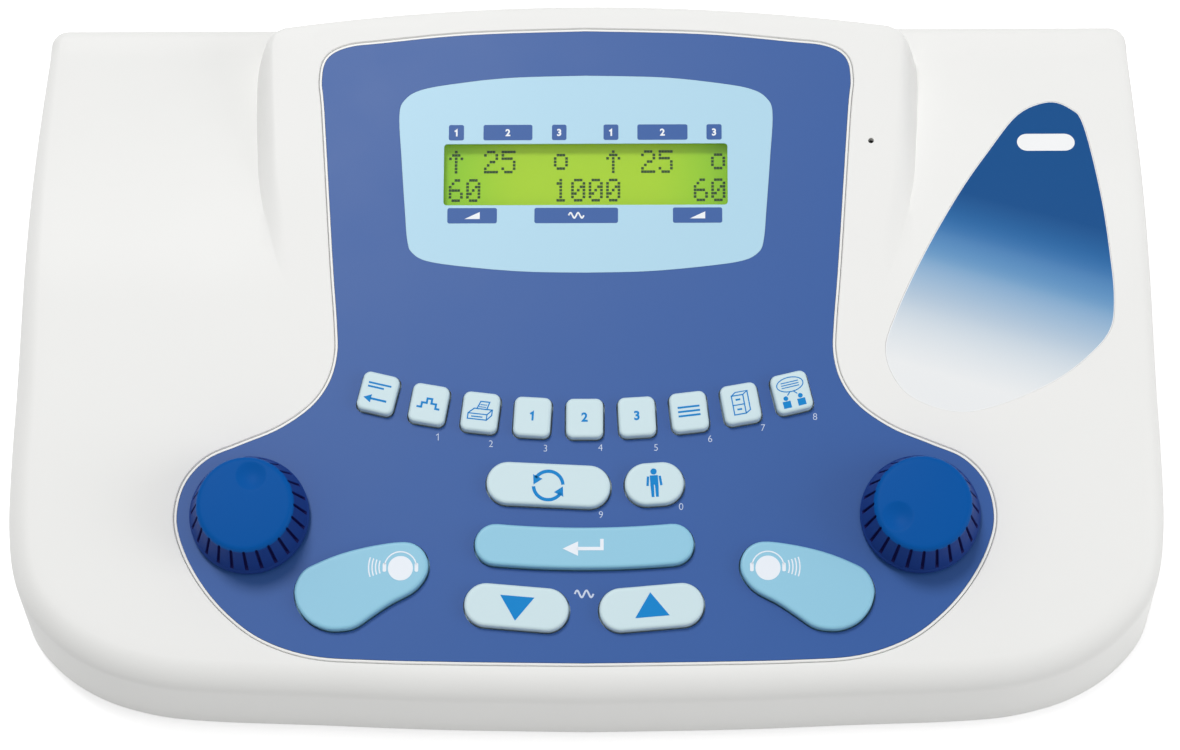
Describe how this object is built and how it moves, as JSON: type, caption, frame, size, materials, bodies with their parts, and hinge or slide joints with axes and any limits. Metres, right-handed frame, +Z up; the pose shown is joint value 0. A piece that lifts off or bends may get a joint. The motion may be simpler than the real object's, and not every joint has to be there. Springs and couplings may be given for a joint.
{
  "type": "desktop audiometer",
  "caption": "White wedge-shaped desktop hearing tester with a blue keyed front panel, a green text display and two turning knobs.",
  "frame": {"origin": "middle of the case's footprint, on the surface the feet stand on", "axes": "+X to the user's right, +Y to the rear, +Z up; the front panel slopes down towards -Y"},
  "size_m": [0.387, 0.242, 0.0861],
  "materials": {
    "case_white": "satin white moulding",
    "base_grey": "matte grey moulding",
    "film_blue": "blue printed film, satin",
    "film_pale": "pale blue printed film, satin",
    "pane_clear": "clear pane",
    "key_pale": "pale aqua rubber-like plastic",
    "key_blue": "light blue plastic",
    "knob_blue": "deep blue, soft gloss",
    "label_print": "printed film, blue fading to white",
    "bezel_black": "black painted steel",
    "lcd_green": "yellow-green display with dark dots",
    "board_green": "green circuit board",
    "metal_grey": "grey sheet metal",
    "steel_shaft": "plain steel",
    "rubber_grey": "dark grey rubber",
    "socket_black": "black plastic",
    "ribbon_grey": "grey flat cable"
  },
  "bodies": {
    "case": {"upper_housing": "case_white", "front_plate": "case_white", "lower_housing": "base_grey", "front_film": "film_blue", "display_surround": "film_pale", "display_pane": "pane_clear", "side_label": "label_print", "lcd_bezel": "bezel_black", "lcd_glass": "lcd_green", "lcd_board": "board_green", "keypad_board": "board_green", "main_board": "board_green", "display_ribbon": "ribbon_grey", "keypad_ribbon": "ribbon_grey", "microphone": "socket_black", "rear_plate": "metal_grey", "data_port": "metal_grey", "power_socket": "socket_black", "power_switch": "socket_black", "encoder_body_left": "socket_black", "encoder_nut_left": "steel_shaft", "encoder_body_right": "socket_black", "encoder_nut_right": "steel_shaft", "foot_front_left": "rubber_grey", "case_screw_front_left": "steel_shaft", "foot_front_right": "rubber_grey", "case_screw_front_right": "steel_shaft", "foot_rear_left": "rubber_grey", "case_screw_rear_left": "steel_shaft", "foot_rear_right": "rubber_grey", "case_screw_rear_right": "steel_shaft", "jack_phones": "socket_black", "jack_bone": "socket_black", "jack_patient": "socket_black", "jack_talk": "socket_black"},
    "key_clear": {"key_clear": "key_pale"},
    "key_step": {"key_step": "key_pale"},
    "key_print": {"key_print": "key_pale"},
    "key_soft_1": {"key_soft_1": "key_pale"},
    "key_soft_2": {"key_soft_2": "key_pale"},
    "key_soft_3": {"key_soft_3": "key_pale"},
    "key_menu": {"key_menu": "key_pale"},
    "key_store": {"key_store": "key_pale"},
    "key_talk": {"key_talk": "key_pale"},
    "key_cycle": {"key_cycle": "key_pale"},
    "key_person": {"key_person": "key_pale"},
    "key_enter": {"key_enter": "key_blue"},
    "key_down": {"key_down": "key_pale"},
    "key_up": {"key_up": "key_pale"},
    "key_present_left": {"key_present_left": "key_blue"},
    "key_present_right": {"key_present_right": "key_blue"},
    "knob_left": {"knob_left": "knob_blue", "encoder_shaft_left": "steel_shaft"},
    "knob_right": {"knob_right": "knob_blue", "encoder_shaft_right": "steel_shaft"},
    "power_rocker": {"power_rocker": "socket_black"}
  },
  "joints": [
    {"name": "key_clear_press", "type": "slide", "parent": "case", "child": "key_clear", "axis": [0, 0.2164, -0.9763], "range_m": [0, 0.0012], "stiffness_N_per_m": 600, "springref_m": -0.0008},
    {"name": "key_step_press", "type": "slide", "parent": "case", "child": "key_step", "axis": [0, 0.2164, -0.9763], "range_m": [0, 0.0012], "stiffness_N_per_m": 600, "springref_m": -0.0008},
    {"name": "key_print_press", "type": "slide", "parent": "case", "child": "key_print", "axis": [0, 0.2164, -0.9763], "range_m": [0, 0.0012], "stiffness_N_per_m": 600, "springref_m": -0.0008},
    {"name": "key_soft_1_press", "type": "slide", "parent": "case", "child": "key_soft_1", "axis": [0, 0.2164, -0.9763], "range_m": [0, 0.0012], "stiffness_N_per_m": 600, "springref_m": -0.0008},
    {"name": "key_soft_2_press", "type": "slide", "parent": "case", "child": "key_soft_2", "axis": [0, 0.2164, -0.9763], "range_m": [0, 0.0012], "stiffness_N_per_m": 600, "springref_m": -0.0008},
    {"name": "key_soft_3_press", "type": "slide", "parent": "case", "child": "key_soft_3", "axis": [0, 0.2164, -0.9763], "range_m": [0, 0.0012], "stiffness_N_per_m": 600, "springref_m": -0.0008},
    {"name": "key_menu_press", "type": "slide", "parent": "case", "child": "key_menu", "axis": [0, 0.2164, -0.9763], "range_m": [0, 0.0012], "stiffness_N_per_m": 600, "springref_m": -0.0008},
    {"name": "key_store_press", "type": "slide", "parent": "case", "child": "key_store", "axis": [0, 0.2164, -0.9763], "range_m": [0, 0.0012], "stiffness_N_per_m": 600, "springref_m": -0.0008},
    {"name": "key_talk_press", "type": "slide", "parent": "case", "child": "key_talk", "axis": [0, 0.2164, -0.9763], "range_m": [0, 0.0012], "stiffness_N_per_m": 600, "springref_m": -0.0008},
    {"name": "key_cycle_press", "type": "slide", "parent": "case", "child": "key_cycle", "axis": [0, 0.2164, -0.9763], "range_m": [0, 0.0012], "stiffness_N_per_m": 600, "springref_m": -0.0008},
    {"name": "key_person_press", "type": "slide", "parent": "case", "child": "key_person", "axis": [0, 0.2164, -0.9763], "range_m": [0, 0.0012], "stiffness_N_per_m": 600, "springref_m": -0.0008},
    {"name": "key_enter_press", "type": "slide", "parent": "case", "child": "key_enter", "axis": [0, 0.2164, -0.9763], "range_m": [0, 0.0012], "stiffness_N_per_m": 600, "springref_m": -0.0008},
    {"name": "key_down_press", "type": "slide", "parent": "case", "child": "key_down", "axis": [0, 0.2164, -0.9763], "range_m": [0, 0.0012], "stiffness_N_per_m": 600, "springref_m": -0.0008},
    {"name": "key_up_press", "type": "slide", "parent": "case", "child": "key_up", "axis": [0, 0.2164, -0.9763], "range_m": [0, 0.0012], "stiffness_N_per_m": 600, "springref_m": -0.0008},
    {"name": "key_present_left_press", "type": "slide", "parent": "case", "child": "key_present_left", "axis": [0, 0.2164, -0.9763], "range_m": [0, 0.0012], "stiffness_N_per_m": 600, "springref_m": -0.0008},
    {"name": "key_present_right_press", "type": "slide", "parent": "case", "child": "key_present_right", "axis": [0, 0.2164, -0.9763], "range_m": [0, 0.0012], "stiffness_N_per_m": 600, "springref_m": -0.0008},
    {"name": "knob_left_turn", "type": "hinge", "parent": "case", "child": "knob_left", "pos_m": [-0.1115, -0.06165, 0.04688], "axis": [0, -0.2164, 0.9763], "continuous": true},
    {"name": "knob_right_turn", "type": "hinge", "parent": "case", "child": "knob_right", "pos_m": [0.1115, -0.06165, 0.04688], "axis": [0, -0.2164, 0.9763], "continuous": true},
    {"name": "power_rocker_tilt", "type": "hinge", "parent": "case", "child": "power_rocker", "pos_m": [0.058, 0.1165, 0.028], "axis": [1, 0, 0], "range_deg": [-16, 0]}
  ]
}
